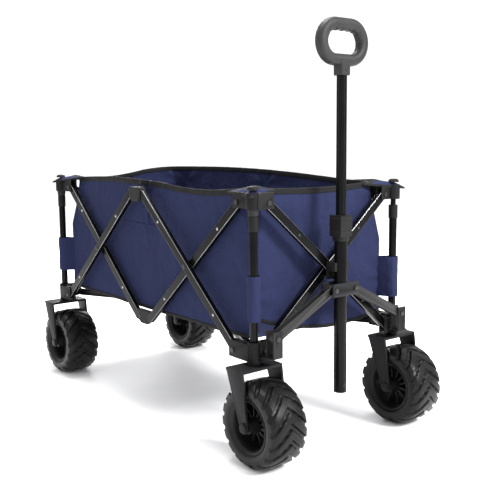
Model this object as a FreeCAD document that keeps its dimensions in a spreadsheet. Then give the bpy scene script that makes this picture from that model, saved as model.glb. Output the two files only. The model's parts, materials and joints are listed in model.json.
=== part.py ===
"""Folding camp wagon: a parametric FreeCAD document, written out as one STEP file per sub-part.

Frame: +Z up, ground at z = 0, origin midway between the axles.  The long sides run along Y,
the pull handle is at the -Y end.  Corner codes: FL, FR, RL, RR = front/rear, left (-X)/right (+X).
"""
import FreeCAD, Part
import math
import os
import re
from FreeCAD import Placement, Rotation, Vector

# Driving dimensions, millimetres.
DIMENSIONS = {
    # where the corner posts stand and how high the scissor pivots sit
    "post_gap_x": 418, "post_gap_y": 880, "axle_lead": 30,
    "lower_pivot_z": 227, "upper_pivot_z": 535,
    "side_inset": 52, "front_inset": 29, "mid_inset": 28,
    # flat scissor bars
    "bar_depth": 20, "bar_width": 12, "bar_wall": 1.4, "bar_layer": 7,
    # rivets and running clearances
    "pin_radius": 3, "play": 0.05, "side_gap": 0.5, "head_radius": 5.5, "head_height": 1.6,
    # telescoping corner posts
    "post_radius": 9, "post_wall": 1.2, "post_foot_z": 216, "post_top_z": 500,
    "inner_post_radius": 6, "inner_post_foot_z": 265,
    "bush_radius": 10.5, "bush_foot_z": 478, "bush_top_z": 509,
    # how far a cutting tool runs past the solid it cuts
    "overrun": 1,
    # moulded corner and middle brackets
    "ear_wall": 3, "socket_radius": 15, "bracket_foot_z": 208, "ear_foot_z": 213,
    "ear_top_z": 248, "socket_top_z": 252, "ear_reach": 12,
    "cap_foot_z": 523, "cap_top_z": 556, "web_half": 15, "mid_height": 34,
    # casters
    "wheel_radius": 90, "tyre_width": 92, "tyre_shoulder": 16, "tyre_wall": 14, "rim_radius": 55,
    "rim_wall": 7, "rim_width": 64, "hub_radius": 17, "spoke_width": 9, "spoke_count": 8,
    "axle_radius": 6, "fork_gap": 97, "fork_wall": 5, "fork_top_z": 204, "fork_top_wall": 6,
    "fork_depth": 52, "fork_end_radius": 12, "stem_radius": 5, "stem_head_radius": 7,
    "stem_head_height": 3, "washer_radius": 13,
    # pull handle
    "mast_y": -448, "mast_radius": 14, "mast_wall": 1.3, "mast_foot_z": 114,
    "collar_width": 34, "collar_foot_z": 456, "collar_top_z": 501,
    "inner_mast_radius": 11, "inner_mast_wall": 1.2, "inner_mast_foot_z": 380, "grip_foot_z": 800,
    "grip_top_z": 910, "grip_width": 140, "grip_height": 100, "grip_bar": 26, "grip_edge": 9,
    "socket_width": 29, "socket_drop": 8, "button_radius": 5, "button_length": 6.5, "button_proud": 4,
    # handle links and carrier
    "link_foot_x": 187, "link_foot_z": 263, "link_head_x": 29.5, "link_head_z": 343,
    "link_depth": 20, "link_width": 18, "link_wall": 2.5, "link_slot_radius": 5, "link_slot_length": 8,
    "carrier_width": 76, "carrier_height": 28, "carrier_wall": 4, "lug_wall": 11, "lug_shift": 5,
    "clevis_top_z": 278, "block_width": 42, "block_height": 38, "block_wall": 4, "groove_play": 0.3,
    # folding floor links
    "ear_distance": 40, "floor_link_z": 232, "floor_link_width": 14, "floor_link_depth": 16,
    "floor_link_wall": 2, "fork_rim": 2,
    "floor_hub_reach": 90, "floor_hub_width": 90, "floor_hub_wall": 4, "floor_hub_rise": 12,
    # fabric basket
    "cloth_x": 187, "cloth_front_y": -385, "cloth_rear_y": 445, "cloth_wall": 3,
    "cloth_foot_z": 250, "cloth_top_z": 552,
}

doc = FreeCAD.newDocument("camp_wagon")
sheet = doc.addObject("Spreadsheet::Sheet", "dims")
for row, (alias, value) in enumerate(DIMENSIONS.items(), start=1):
    sheet.set(f"A{row}", alias)
    sheet.set(f"B{row}", str(value))
    sheet.setAlias(f"B{row}", alias)
doc.recompute()

ALIAS = re.compile(r"\b(" + "|".join(DIMENSIONS) + r")\b")
TURN_TO_X = Rotation(Vector(0, 1, 0), 90)
TURN_TO_Y = Rotation(Vector(1, 0, 0), -90)
NO_TURN = Rotation()
sub_parts = []


# ---------------------------------------------------------------- building blocks
def value(formula):
    """The number that a formula of sheet aliases stands for."""
    numbers = {alias: float(sheet.get(alias)) for alias in ALIAS.findall(str(formula))}
    text = ALIAS.sub(lambda m: repr(numbers[m.group(1)]), str(formula))
    return float(FreeCAD.Units.Quantity(text).Value)


def bind(item, prop, formula):
    """Bind one property to a formula of sheet aliases."""
    item.setExpression(prop, ALIAS.sub(r"dims.\1", str(formula)))


def seat(item, centre, back=(0, 0, 0)):
    """Place an object at a centre, less the given half sizes, all as formulas."""
    for axis, where, half in zip("xyz", centre, back):
        bind(item, f"Placement.Base.{axis}", f"({where}) - ({half})")


def box(centre, size):
    """A block about its centre."""
    item = doc.addObject("Part::Box", "block")
    for prop, edge in zip(("Length", "Width", "Height"), size):
        bind(item, prop, edge)
    seat(item, centre, [f"({edge}) / 2" for edge in size])
    return item


def cylinder(axis, centre, radius, length):
    """A round bar about its centre, along x, y or z."""
    item = doc.addObject("Part::Cylinder", "round")
    bind(item, "Radius", radius)
    bind(item, "Height", length)
    item.Placement = Placement(Vector(), {"x": TURN_TO_X, "y": TURN_TO_Y, "z": NO_TURN}[axis])
    seat(item, centre, [f"({length}) / 2" if name == axis else "0" for name in "xyz"])
    return item


def upright(x, y, low, high, radius):
    """A round bar along z between two heights."""
    return cylinder("z", (x, y, f"(({low}) + ({high})) / 2"), radius, f"({high}) - ({low})")


def join(*pieces):
    """One solid made of several."""
    item = doc.addObject("Part::MultiFuse", "joined")
    item.Shapes = list(pieces)
    item.Refine = True
    return item


def cut(base, *tools):
    """A solid with holes."""
    item = doc.addObject("Part::Cut", "cut")
    item.Base = base
    item.Tool = tools[0] if len(tools) == 1 else join(*tools)
    return item


def rounded(base, radius, keep_edge):
    """Round the edges that keep_edge picks."""
    doc.recompute()
    size = value(radius)
    item = doc.addObject("Part::Fillet", "rounded")
    item.Base = base
    item.Edges = [(n, size, size) for n, edge in enumerate(base.Shape.Edges, 1) if keep_edge(edge)]
    return item


def moved(item, placement):
    """A copy of an object, turned and shifted as one."""
    copy = doc.addObject("Part::Compound", "moved")
    copy.Links = [item]
    copy.Placement = placement
    return copy


def sub_part(label, *solids):
    """Name a finished sub-part; several solids stay separate inside it."""
    item = doc.addObject("Part::Compound", label)
    item.Links = list(solids)
    item.Label = label
    sub_parts.append(item)
    return item


def rivet(axis, centre, grip):
    """A shank across a joint with a flat round head at each end."""
    place = "xyz".index(axis)
    ends = []
    for side in (-1, 1):
        middle = list(centre)
        middle[place] = f"({centre[place]}) + {side} * (({grip}) / 2 + head_height / 2)"
        ends.append(cylinder(axis, middle, "head_radius", "head_height"))
    return join(cylinder(axis, centre, "pin_radius", grip), *ends)


def rivet_hole(axis, centre, length):
    """The clearance hole of a rivet."""
    return cylinder(axis, centre, "pin_radius + play", length)


# ---------------------------------------------------------------- corners
CORNERS = {"FL": (-1, -1), "FR": (1, -1), "RL": (-1, 1), "RR": (1, 1)}


def post_centre(corner):
    """Formulas of a corner post's x and y."""
    side, end = CORNERS[corner]
    return f"{side} * post_gap_x / 2", f"axle_lead + {end} * post_gap_y / 2"


def end_layer(corner, level):
    """+1 where the end bar at this corner lies outside the posts' plane, -1 inside."""
    outside = {"lower": ("FR", "RL"), "upper": ("FL", "RR")}
    return 1 if corner in outside[level] else -1


EAR_GAP = "(bar_width + 2 * side_gap)"
EAR_SPAN = "(bar_width + 2 * side_gap + 2 * ear_wall)"


def ears(corner, level, low, high):
    """The two arms of a corner moulding, the openings that fork them round a side bar and an end
    bar, and the rivets."""
    side, end = CORNERS[corner]
    x, y = post_centre(corner)
    layer = 1 if level == "lower" else -1
    plane_x = f"{x} + {side * layer} * bar_layer"
    plane_y = f"{y} + {end * end_layer(corner, level)} * bar_layer"
    pivot_z = f"{level}_pivot_z"
    middle = f"({low} + {high}) / 2"
    height = f"({high} - {low})"
    pivot_y = f"{y} - {end} * side_inset"
    pivot_x = f"{x} - {side} * front_inset"
    side_block = box((plane_x, f"{y} - {end} * (side_inset + ear_reach) / 2", middle),
                     (EAR_SPAN, "side_inset + ear_reach", height))
    end_block = box((f"{x} - {side} * (front_inset + ear_reach) / 2", plane_y, middle),
                    ("front_inset + ear_reach", EAR_SPAN, height))
    openings = [
        box((plane_x, pivot_y, middle), (EAR_GAP, "2 * ear_reach + 2 * side_gap", f"2 * {height}")),
        box((pivot_x, plane_y, middle), ("2 * ear_reach + 2 * side_gap", EAR_GAP, f"2 * {height}")),
        rivet_hole("x", (plane_x, pivot_y, pivot_z), "2 * post_radius + " + EAR_SPAN),
        rivet_hole("y", (pivot_x, plane_y, pivot_z), "2 * post_radius + " + EAR_SPAN),
    ]
    rivets = [
        rivet("x", (plane_x, pivot_y, pivot_z), EAR_SPAN),
        rivet("y", (pivot_x, plane_y, pivot_z), EAR_SPAN),
    ]
    return [side_block, end_block], openings, rivets


def diagonal_turn(corner):
    """The turn that brings +X onto the line from a corner to the floor's centre."""
    side, end = CORNERS[corner]
    angle = math.degrees(math.atan2(-end * value("post_gap_y"), -side * value("post_gap_x")))
    return Rotation(Vector(0, 0, 1), angle)


def corner_turn(corner):
    """The same turn, with its centre on the corner post's axis at ground level."""
    x, y = (value(formula) for formula in post_centre(corner))
    return Placement(Vector(x, y, 0), diagonal_turn(corner))


FLOOR_FORK_SPAN = "(floor_link_width + 2 * side_gap + 2 * ear_wall)"


def floor_fork(corner):
    """The fork inside a lower corner that a floor link hangs in, built along +X and turned."""
    height = "(floor_link_depth + 2 * fork_rim)"
    fork = cut(
        box(("(ear_distance + ear_reach) / 2", "0", "floor_link_z"),
            ("ear_distance + ear_reach", FLOOR_FORK_SPAN, height)),
        box(("ear_distance", "0", "floor_link_z"),
            ("2 * ear_reach + 2 * side_gap", "floor_link_width + 2 * side_gap", "2 * ear_distance")),
        rivet_hole("y", ("ear_distance", "0", "floor_link_z"), "ear_distance"),
    )
    pin = rivet("y", ("ear_distance", "0", "floor_link_z"), FLOOR_FORK_SPAN)
    turn = corner_turn(corner)
    return moved(fork, turn), moved(pin, turn)


CLEVIS_GAP = "(link_width + 2 * side_gap)"
CLEVIS_SPAN = "(link_width + 2 * side_gap + 2 * ear_wall)"


def handle_lug(corner):
    """The forward lug of a front corner with its upright clevis for a handle link."""
    side, end = CORNERS[corner]
    x, y = post_centre(corner)
    foot = ("ear_foot_z", "ear_foot_z + lug_wall")
    reach = f"({y} - mast_y + {CLEVIS_SPAN} / 2)"
    shelf = box((f"{side} * (link_foot_x + lug_shift)", f"{y} - {reach} / 2", f"({foot[0]} + {foot[1]}) / 2"),
                ("2 * socket_radius", reach, "lug_wall"))
    low = "ear_foot_z"
    clevis = cut(
        box((f"{side} * link_foot_x", "mast_y", f"({low} + clevis_top_z) / 2"),
            ("2 * ear_reach", CLEVIS_SPAN, f"clevis_top_z - {low}")),
        box((f"{side} * link_foot_x", "mast_y", f"({foot[1]} + clevis_top_z) / 2 + 5"),
            ("4 * ear_reach", CLEVIS_GAP, f"clevis_top_z - {foot[1]} + 10")),
    )
    place = (f"{side} * link_foot_x", "mast_y", "link_foot_z")
    return [shelf, clevis], rivet_hole("y", place, "2 * " + CLEVIS_SPAN), rivet("y", place, CLEVIS_SPAN)


def lower_bracket(corner):
    """The moulding at the foot of a corner post."""
    x, y = post_centre(corner)
    solids, holes, rivets = ears(corner, "lower", "ear_foot_z", "ear_top_z")
    fork, pin = floor_fork(corner)
    solids = solids + [upright(x, y, "bracket_foot_z", "socket_top_z", "socket_radius"), fork]
    rivets = rivets + [pin]
    if corner in ("FL", "FR"):
        lug, hole, link_pin = handle_lug(corner)
        solids = solids + lug
        holes = holes + [hole]
        rivets = rivets + [link_pin]
    post_bore = upright(x, y, "post_foot_z", "socket_top_z + 10", "post_radius + play")
    stem_bore = upright(x, y, "bracket_foot_z - 10", "socket_top_z", "stem_radius + play")
    sub_part(f"lower_bracket_{corner}", cut(join(*solids), post_bore, stem_bore, *holes), *rivets)


def outer_post(corner):
    """The outer tube of a telescoping corner post with the plastic bush at its mouth."""
    x, y = post_centre(corner)
    tube = cut(
        upright(x, y, "post_foot_z", "post_top_z", "post_radius"),
        upright(x, y, "post_foot_z - overrun", "post_top_z + overrun", "post_radius - post_wall"),
    )
    bush = cut(
        upright(x, y, "bush_foot_z", "bush_top_z", "bush_radius"),
        upright(x, y, "bush_foot_z - overrun", "post_top_z", "post_radius + play"),
        upright(x, y, "post_top_z - overrun", "bush_top_z + overrun", "inner_post_radius + play"),
    )
    sub_part(f"outer_post_{corner}", tube, bush)


def top_bracket(corner):
    """The moulding at the head of a corner post and the inner post that slides in the outer one."""
    x, y = post_centre(corner)
    solids, holes, rivets = ears(corner, "upper", "cap_foot_z", "cap_top_z")
    boss = upright(x, y, "cap_foot_z", "cap_top_z", "socket_radius")
    bore = upright(x, y, "cap_foot_z - overrun", "cap_top_z - ear_wall", "inner_post_radius + play")
    inner_post = cut(
        upright(x, y, "inner_post_foot_z", "cap_top_z - ear_wall", "inner_post_radius"),
        upright(x, y, "inner_post_foot_z - overrun", "cap_top_z", "inner_post_radius - post_wall"),
    )
    moulding = cut(join(boss, *solids), bore, *holes)
    sub_part(f"top_bracket_{corner}", moulding, inner_post, *rivets)


# ---------------------------------------------------------------- scissor bars
def bar_solid(holes):
    """A flat tube along X about its centre, rounded in side view, with rivet holes across Y."""
    length = "pow((post_gap_x - 2 * front_inset); 2) + pow((upper_pivot_z - lower_pivot_z); 2)"
    length = f"sqrt({length})"
    outer = join(
        box(("0", "0", "0"), (length, "bar_width", "bar_depth")),
        cylinder("y", (f"{length} / 2", "0", "0"), "bar_depth / 2", "bar_width"),
        cylinder("y", (f"-{length} / 2", "0", "0"), "bar_depth / 2", "bar_width"),
    )
    hollow = box(("0", "0", "0"), (f"{length} + 2 * bar_depth", "bar_width - 2 * bar_wall",
                                   "bar_depth - 2 * bar_wall"))
    across = [rivet_hole("y", (f"{share} * {length} / 2", "0", "0"), "2 * bar_width") for share in holes]
    return cut(outer, hollow, *across)


def bar(label, face, start, finish, layer, rivet_axis=None):
    """A scissor bar between two pivots of a face; the outer bar carries the centre rivet."""
    span = value("post_gap_x - 2 * front_inset")
    rise = value("upper_pivot_z - lower_pivot_z")
    side, middle, plane = face(start, finish)
    slope = math.degrees(math.atan2(rise, span))
    height = value("(upper_pivot_z + lower_pivot_z) / 2")
    solids = [bar_solid((-1, 0, 1))]
    if rivet_axis:
        reach = "2 * bar_layer - bar_width"
        grip = f"2 * bar_width + {reach}"
        solids.append(rivet("y", ("0", f"{rivet_axis} * bar_layer", "0"), grip))
    turn = Rotation(Vector(0, 0, 1), side) * Rotation(Vector(0, 1, 0), -slope)
    where = Vector(*middle) + Vector(*plane) * layer * value("bar_layer")
    where.z = height
    item = sub_part(label, *solids)
    item.Placement = Placement(where, turn)


def side_face(side, mid_end):
    """A function giving the turn, centre and outward normal of a bar on a long side.

    mid_end is -1 for the front half and +1 for the rear half of that side.
    """
    def face(start, finish):
        low_y = value(f"axle_lead + {mid_end} * (post_gap_y / 2 - side_inset)")
        high_y = value(f"axle_lead + {mid_end} * mid_inset")
        middle = (side * value("post_gap_x") / 2, (low_y + high_y) / 2, 0)
        heading = 90 if finish > start else -90
        return heading, middle, (side, 0, 0)
    return face


def end_face(end):
    """The same for a short end of the wagon."""
    def face(start, finish):
        middle = (0, value(f"axle_lead + {end} * post_gap_y / 2"), 0)
        heading = 0 if finish > start else 180
        return heading, middle, (0, end, 0)
    return face


def scissor_bars():
    """All twelve bars.  A bar rises from its start to its finish, given as -1 or +1 on the face."""
    for name, side in (("left", -1), ("right", 1)):
        for half, end in (("front", -1), ("rear", 1)):
            face = side_face(side, end)
            toward = -side * end
            bar(f"{name}_{half}_bar_outer", face, end, 0, 1, rivet_axis=toward)
            bar(f"{name}_{half}_bar_inner", face, 0, end, -1)
    for name, end in (("front", -1), ("rear", 1)):
        face = end_face(end)
        low = 1 if end == -1 else -1
        bar(f"{name}_bar_outer", face, low, -low, 1, rivet_axis=-1)
        bar(f"{name}_bar_inner", face, -low, low, -1)


def mid_bracket(name, side, level):
    """The moulding that joins the two scissors of a long side at the top or at the bottom."""
    layer = 1 if level == "upper" else -1
    plane_x = f"{side} * (post_gap_x / 2 + {layer} * bar_layer)"
    pivot_z = f"{level}_pivot_z"
    block = box((plane_x, "axle_lead", pivot_z),
                (EAR_SPAN, "2 * (mid_inset + ear_reach)", "mid_height"))
    slots = []
    rivets = []
    for way in (-1, 1):
        pivot_y = f"axle_lead + {way} * mid_inset"
        slots.append(box((plane_x, f"axle_lead + {way} * (web_half + mid_inset + ear_reach) / 2", pivot_z),
                         (EAR_GAP, "mid_inset + ear_reach - web_half", "2 * mid_height")))
        slots.append(rivet_hole("x", (plane_x, pivot_y, pivot_z), "2 * " + EAR_SPAN))
        rivets.append(rivet("x", (plane_x, pivot_y, pivot_z), EAR_SPAN))
    sub_part(f"{name}_{level}_mid_bracket", cut(block, *slots), *rivets)


# ---------------------------------------------------------------- casters
def axle_y(corner):
    """The formula of an axle's y: both caster pairs stand forward of their posts."""
    return f"{post_centre(corner)[1]} - axle_lead"


def fork(corner):
    """A caster fork: top plate, two raked legs, stem, thrust washer and axle."""
    x, y = post_centre(corner)
    forward = axle_y(corner)
    pieces = [box((x, y, "fork_top_z - fork_top_wall / 2"),
                  ("fork_gap + 2 * fork_wall", "fork_depth", "fork_top_wall"))]
    for side in (-1, 1):
        leg = doc.addObject("Part::Wedge", "leg")
        formulas = {
            "Xmin": "0", "Xmax": "fork_wall", "X2min": "0", "X2max": "fork_wall",
            "Ymin": "0", "Ymax": "fork_top_z - wheel_radius",
            "Zmin": "-fork_end_radius", "Zmax": "fork_end_radius",
            "Z2min": "-axle_lead - fork_depth / 2", "Z2max": "-axle_lead + fork_depth / 2",
        }
        for prop, formula in formulas.items():
            bind(leg, prop, formula)
        leg.Placement = Placement(Vector(), Rotation(Vector(1, 0, 0), 90))
        centre_x = f"{x} + {side} * (fork_gap + fork_wall) / 2"
        seat(leg, (centre_x, forward, "wheel_radius"), ("fork_wall / 2", "0", "0"))
        foot = cylinder("x", (centre_x, forward, "wheel_radius"), "fork_end_radius", "fork_wall")
        pieces = pieces + [leg, foot]
    holes = cylinder("x", (x, forward, "wheel_radius"), "axle_radius + play", "2 * fork_gap")
    stem_hole = upright(x, y, "fork_top_z - 20", "fork_top_z + overrun", "stem_radius")
    stem = join(
        upright(x, y, "fork_top_z - fork_top_wall", "post_foot_z + overrun", "stem_radius"),
        upright(x, y, "post_foot_z + overrun", "post_foot_z + 1 + stem_head_height", "stem_head_radius"),
    )
    washer = cut(upright(x, y, "fork_top_z", "bracket_foot_z", "washer_radius"),
                 upright(x, y, "fork_top_z - overrun", "bracket_foot_z + overrun", "stem_radius"))
    axle = join(
        cylinder("x", (x, forward, "wheel_radius"), "axle_radius", "fork_gap + 2 * fork_wall"),
        cylinder("x", (f"{x} + (fork_gap / 2 + fork_wall + 1.5)", forward, "wheel_radius"),
                 "fork_end_radius - 2", "3"),
        cylinder("x", (f"{x} - (fork_gap / 2 + fork_wall + 1.5)", forward, "wheel_radius"),
                 "fork_end_radius - 2", "3"),
    )
    sub_part(f"fork_{corner}", cut(join(*pieces), holes, stem_hole), stem, washer, axle)


def wheel(corner):
    """A wide soft tyre on a spoked rim."""
    x, _ = post_centre(corner)
    centre = (x, axle_y(corner), "wheel_radius")
    body = rounded(cylinder("x", centre, "wheel_radius", "tyre_width"), "tyre_shoulder",
                   lambda edge: edge.Curve.TypeId == "Part::GeomCircle")
    cavity = cylinder("x", centre, "wheel_radius - tyre_wall", "tyre_width - 2 * tyre_wall")
    sub_part(f"tyre_{corner}", cut(body, cylinder("x", centre, "rim_radius", "2 * tyre_width"), cavity))
    barrel = cut(cylinder("x", centre, "rim_radius - play", "rim_width"),
                 cylinder("x", centre, "rim_radius - rim_wall", "2 * rim_width"))
    hub = cylinder("x", centre, "hub_radius", "fork_gap - 2")
    spokes = []
    reach = "(rim_radius - rim_wall / 2)"
    for number in range(int(value("spoke_count"))):
        spoke = box(("0", f"{reach} / 2", "0"), ("rim_width / 2", reach, "spoke_width"))
        angle = 360 / value("spoke_count") * number
        place = Placement(Vector(*(value(part) for part in centre)), Rotation(Vector(1, 0, 0), angle))
        spokes.append(moved(spoke, place))
    bore = cylinder("x", centre, "axle_radius + play", "2 * fork_gap")
    sub_part(f"rim_{corner}", cut(join(barrel, hub, *spokes), bore))


# ---------------------------------------------------------------- pull handle
def mast():
    """The telescoping mast with its collar, release button and closed-loop grip."""
    tube = cut(upright("0", "mast_y", "mast_foot_z", "collar_foot_z", "mast_radius"),
               upright("0", "mast_y", "mast_foot_z - overrun", "collar_foot_z + overrun", "mast_radius - mast_wall"))
    sub_part("mast_outer", tube)
    collar = cut(
        box(("0", "mast_y", "(collar_foot_z + collar_top_z) / 2"),
            ("collar_width", "collar_width", "collar_top_z - collar_foot_z")),
        upright("0", "mast_y", "collar_foot_z - overrun", "collar_top_z + overrun", "inner_mast_radius + 2 * play"),
        cylinder("x", ("collar_width / 2", "mast_y", "(collar_foot_z + collar_top_z) / 2"),
                 "button_radius + play", "2 * (collar_width / 2 - inner_mast_radius)"),
    )
    sub_part("mast_collar", collar)
    button = cylinder("x", ("collar_width / 2 + button_proud - button_length / 2", "mast_y",
                            "(collar_foot_z + collar_top_z) / 2"), "button_radius", "button_length")
    sub_part("release_button", button)
    inner = cut(upright("0", "mast_y", "inner_mast_foot_z", "grip_foot_z", "inner_mast_radius"),
                upright("0", "mast_y", "inner_mast_foot_z - overrun", "grip_foot_z + overrun",
                        "inner_mast_radius - inner_mast_wall"))
    sub_part("mast_inner", inner)


def grip():
    """The closed-loop grip: rounded sides, straight top and bottom bars, and a socket."""
    centre_z = "(grip_top_z - grip_height / 2)"

    def loop(inset, depth):
        """A long rounded block, the outline of the loop at an inset."""
        radius = f"(grip_height / 2 - {inset})"
        half = "(grip_width - grip_height)"
        pieces = [box(("0", "mast_y", centre_z), (half, depth, f"2 * {radius}"))]
        for side in (-1, 1):
            pieces.append(cylinder("y", (f"{side} * {half} / 2", "mast_y", centre_z), radius, depth))
        return join(*pieces)

    ring = cut(loop("0", "grip_bar"), loop("grip_bar", "2 * grip_bar"))
    ring = rounded(ring, "grip_edge", lambda edge: abs(edge.BoundBox.YLength) < 0.001)
    socket_top = "(grip_top_z - grip_height + grip_bar / 2)"
    socket = box(("0", "mast_y", f"({socket_top} + grip_foot_z - socket_drop) / 2"),
                 ("socket_width", "socket_width - 3", f"{socket_top} - grip_foot_z + socket_drop"))
    bore = upright("0", "mast_y", "grip_foot_z - socket_drop - overrun", "grip_foot_z",
                   "inner_mast_radius + play")
    sub_part("grip", cut(join(ring, socket), bore))


def carrier():
    """Two plates that clamp the mast and hold the heads of both handle links."""
    pieces = []
    back = "(mast_radius + carrier_wall / 2)"
    for way in (-1, 1):
        plate = box(("0", f"mast_y + {way} * {back}", "link_head_z"),
                    ("carrier_width", "carrier_wall", "carrier_height"))
        holes = [rivet_hole("y", (f"{side} * link_head_x", "mast_y", "link_head_z"), "carrier_width")
                 for side in (-1, 1)]
        pieces.append(cut(plate, *holes))
    for side in (-1, 1):
        pieces.append(rivet("y", (f"{side} * link_head_x", "mast_y", "link_head_z"),
                            "2 * mast_radius + 2 * carrier_wall"))
    sub_part("link_carrier", *pieces)


def handle_link(name, side):
    """A strut from a front corner up to the carrier; its bolt shifts in a long hole at the head."""
    run = value("link_foot_x - link_head_x")
    rise = value("link_head_z - link_foot_z")
    length = "sqrt(pow((link_foot_x - link_head_x); 2) + pow((link_head_z - link_foot_z); 2))"
    strut = join(
        box((f"{length} / 2", "0", "0"), (length, "link_width", "link_depth")),
        cylinder("y", ("0", "0", "0"), "link_depth / 2", "link_width"),
        cylinder("y", (length, "0", "0"), "link_depth / 2", "link_width"),
    )
    hollow = box((f"{length} / 2", "0", "0"),
                 (f"{length} - 4 * link_wall - link_slot_length - link_depth", "link_width - 2 * link_wall",
                  "2 * link_depth"))
    strut = cut(strut, hollow, rivet_hole("y", ("0", "0", "0"), "2 * link_width"),
                box((f"{length} - link_slot_length / 2", "0", "0"),
                    ("link_slot_length", "2 * link_width", "2 * link_slot_radius")),
                cylinder("y", (length, "0", "0"), "link_slot_radius", "2 * link_width"),
                cylinder("y", (f"{length} - link_slot_length", "0", "0"), "link_slot_radius",
                         "2 * link_width"))
    item = sub_part(f"handle_link_{name}", strut)
    heading = 0 if side < 0 else 180
    slope = math.degrees(math.atan2(rise, run))
    turn = Rotation(Vector(0, 0, 1), heading) * Rotation(Vector(0, 1, 0), -slope)
    item.Placement = Placement(
        Vector(side * value("link_foot_x"), value("mast_y"), value("link_foot_z")), turn)


def centre_block():
    """The saddle riveted through the middle of the front scissor that steadies the mast."""
    front = "axle_lead - post_gap_y / 2"
    pivot_z = "(lower_pivot_z + upper_pivot_z) / 2"
    face = f"({front} - bar_layer - bar_width / 2 - head_height - side_gap)"
    plate = box(("0", f"{face} - block_wall / 2", pivot_z), ("block_width", "block_wall", "block_height"))
    saddle_depth = f"({face} - mast_y)"
    saddle = box(("0", f"{face} - block_wall - {saddle_depth} / 2", f"{pivot_z} + block_height / 4"),
                 ("block_width", saddle_depth, "block_height / 2"))
    groove = upright("0", "mast_y", "lower_pivot_z", "upper_pivot_z", "mast_radius + groove_play")
    sub_part("centre_block", cut(join(plate, saddle), groove))


# ---------------------------------------------------------------- floor frame
def floor_length():
    """The formula of a floor link's length between its pivots."""
    diagonal = "sqrt(pow(post_gap_x / 2; 2) + pow(post_gap_y / 2; 2))"
    return f"({diagonal} - ear_distance - floor_hub_reach)"


def floor_link(corner):
    """A link from a lower corner to the floor's centre hub."""
    length = floor_length()
    strut = join(
        box((f"ear_distance + {length} / 2", "0", "floor_link_z"),
            (length, "floor_link_width", "floor_link_depth")),
        cylinder("y", ("ear_distance", "0", "floor_link_z"), "floor_link_depth / 2", "floor_link_width"),
        cylinder("y", (f"ear_distance + {length}", "0", "floor_link_z"), "floor_link_depth / 2",
                 "floor_link_width"),
    )
    groove = box((f"ear_distance + {length} / 2", "0", "floor_link_z - floor_link_wall"),
                 (f"{length} - 2 * ear_reach", "floor_link_width - 2 * floor_link_wall", "floor_link_depth"))
    holes = [groove, rivet_hole("y", ("ear_distance", "0", "floor_link_z"), "ear_distance"),
             rivet_hole("y", (f"ear_distance + {length}", "0", "floor_link_z"), "ear_distance")]
    item = sub_part(f"floor_link_{corner}", cut(strut, *holes))
    item.Placement = corner_turn(corner)


def floor_hub():
    """The plate over the inner ends of the floor links, pinned to the front left one."""
    corner = "FL"
    side, end = CORNERS[corner]
    start = f"(ear_distance + {floor_length()})"
    plate = box(("0", "axle_lead", "floor_link_z + floor_hub_rise"),
                ("floor_hub_width", "2 * floor_hub_reach", "floor_hub_wall"))
    tongues = []
    for way in (-1, 1):
        offset = f"{way} * (floor_link_width / 2 + side_gap + ear_wall / 2)"
        tongue = box((start, offset, "floor_link_z + floor_hub_rise / 2 - 3"),
                     ("2 * ear_reach - 6", "ear_wall", "floor_hub_rise + 6"))
        tongues.append(moved(tongue, corner_turn(corner)))
    hole = moved(rivet_hole("y", (start, "0", "floor_link_z"), "ear_distance"), corner_turn(corner))
    pin = moved(rivet("y", (start, "0", "floor_link_z"), FLOOR_FORK_SPAN), corner_turn(corner))
    sub_part("floor_hub", cut(join(plate, *tongues), hole), pin)


# ---------------------------------------------------------------- fabric basket
def basket():
    """Four cloth walls and a floor, as thin closed panels inside the scissor frame."""
    length = "(cloth_rear_y - cloth_front_y)"
    middle_y = "(cloth_rear_y + cloth_front_y) / 2"
    middle_z = "(cloth_top_z + cloth_foot_z) / 2"
    height = "(cloth_top_z - cloth_foot_z)"
    for name, side in (("left", -1), ("right", 1)):
        sub_part(f"cloth_{name}", box((f"{side} * (cloth_x + cloth_wall / 2)", middle_y, middle_z),
                                      ("cloth_wall", f"{length} + 2 * cloth_wall", height)))
    for name, edge, out in (("front", "cloth_front_y", -1), ("rear", "cloth_rear_y", 1)):
        sub_part(f"cloth_{name}", box(("0", f"{edge} + {out} * cloth_wall / 2", middle_z),
                                      ("2 * cloth_x - 0.2", "cloth_wall", height)))
    sub_part("cloth_floor", box(("0", middle_y, "cloth_foot_z + cloth_wall / 2"),
                                ("2 * cloth_x - 0.2", f"{length} - 0.2", "cloth_wall")))


for code in CORNERS:
    lower_bracket(code)
    outer_post(code)
    top_bracket(code)
    fork(code)
    wheel(code)
    floor_link(code)
scissor_bars()
for half_name, half_side in (("left", -1), ("right", 1)):
    mid_bracket(half_name, half_side, "upper")
    mid_bracket(half_name, half_side, "lower")
    handle_link(half_name, half_side)
mast()
grip()
carrier()
centre_block()
floor_hub()
basket()

doc.recompute()
failed = [item.Name for item in doc.Objects if {"Invalid", "Error"} & set(item.State)]
failed += [item.Label for item in sub_parts if item.Shape.isNull() or not item.Shape.isValid()]
failed += [item.Label for item in sub_parts if item.Shape.Volume <= 0]
if failed:
    raise RuntimeError(f"these objects did not build: {failed}")
os.makedirs("parts", exist_ok=True)
for item in sub_parts:
    item.Shape.exportStep(f"parts/{item.Label}.step")
print(len(sub_parts), "sub-parts written")
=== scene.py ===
"""The looks of the folding camp wagon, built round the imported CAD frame.

Metres, +Z up, ground at z = 0, long sides along Y, pull handle at the -Y end.
"""
import json
import math
import bmesh
import bpy
from mathutils import Matrix, Vector, noise

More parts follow.
